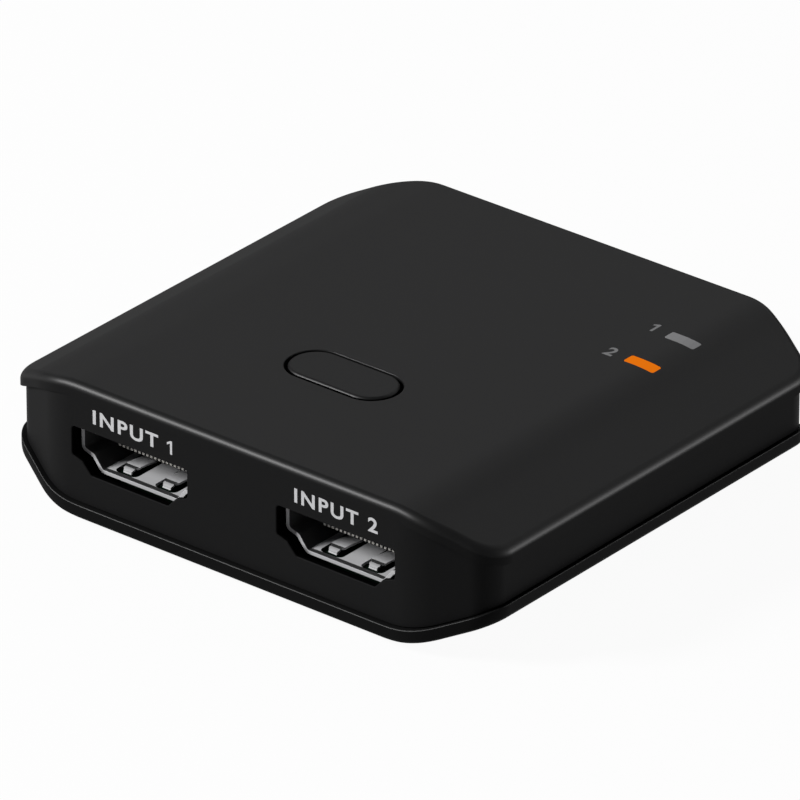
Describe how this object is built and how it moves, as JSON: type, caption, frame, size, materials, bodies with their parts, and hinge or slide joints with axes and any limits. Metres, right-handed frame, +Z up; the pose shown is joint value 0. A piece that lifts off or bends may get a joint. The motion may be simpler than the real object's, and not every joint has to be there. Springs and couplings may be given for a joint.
{
  "type": "video switch box",
  "caption": "Flat black video switch box with an arched lid, a select button and light windows on top, input sockets in front, an output socket and a power inlet behind.",
  "frame": {"origin": "middle of the footprint, on the surface the feet stand on", "axes": "+X to the right across the width, +Y from the input sockets to the back, +Z up"},
  "size_m": [0.0606, 0.0576, 0.0154],
  "materials": {
    "case_black": "fine satin moulding",
    "base_black": "fine satin moulding",
    "button_black": "satin moulding",
    "foot_rubber": "matt",
    "screw_steel": "black zinc",
    "board_green": "solder mask",
    "shell_steel": "bright nickel plating",
    "socket_black": "glass-filled moulding",
    "contact_gold": "gold flash",
    "window_clear": "milky, unlit",
    "window_lit": "milky, lit orange",
    "chip_black": "matt moulding",
    "can_steel": "plain",
    "ceramic_tan": "fired",
    "ceramic_black": "glazed",
    "light_chip": "clear over phosphor",
    "plunger_red": "satin"
  },
  "bodies": {
    "case": {"top_cover": "case_black", "base_plate": "base_black", "rubber_feet": "foot_rubber", "case_screws": "screw_steel", "main_board": "board_green", "input_1_shell": "shell_steel", "input_1_insulator": "socket_black", "input_1_contacts": "contact_gold", "input_2_shell": "shell_steel", "input_2_insulator": "socket_black", "input_2_contacts": "contact_gold", "output_shell": "shell_steel", "output_insulator": "socket_black", "output_contacts": "contact_gold", "power_shell": "shell_steel", "power_tongue": "socket_black", "power_contacts": "contact_gold", "switch_housing": "chip_black", "switch_plate": "can_steel", "switch_dome": "can_steel", "switch_terminals": "can_steel", "light_pipe_1": "window_clear", "light_pipe_2": "window_lit", "light_chip_1": "light_chip", "light_chip_2": "light_chip", "switch_chip": "chip_black", "control_chip": "chip_black", "regulator": "chip_black", "crystal": "can_steel", "surge_arrays": "chip_black", "capacitors": "ceramic_tan", "resistors": "ceramic_black"},
    "button": {"select_button": "button_black", "switch_plunger": "plunger_red"}
  },
  "joints": [
    {"name": "button_press", "type": "slide", "parent": "case", "child": "button", "axis": [0, 0, -1], "range_m": [0, 0.0004], "stiffness_N_per_m": 3000, "deforming": ["switch_dome"]}
  ]
}
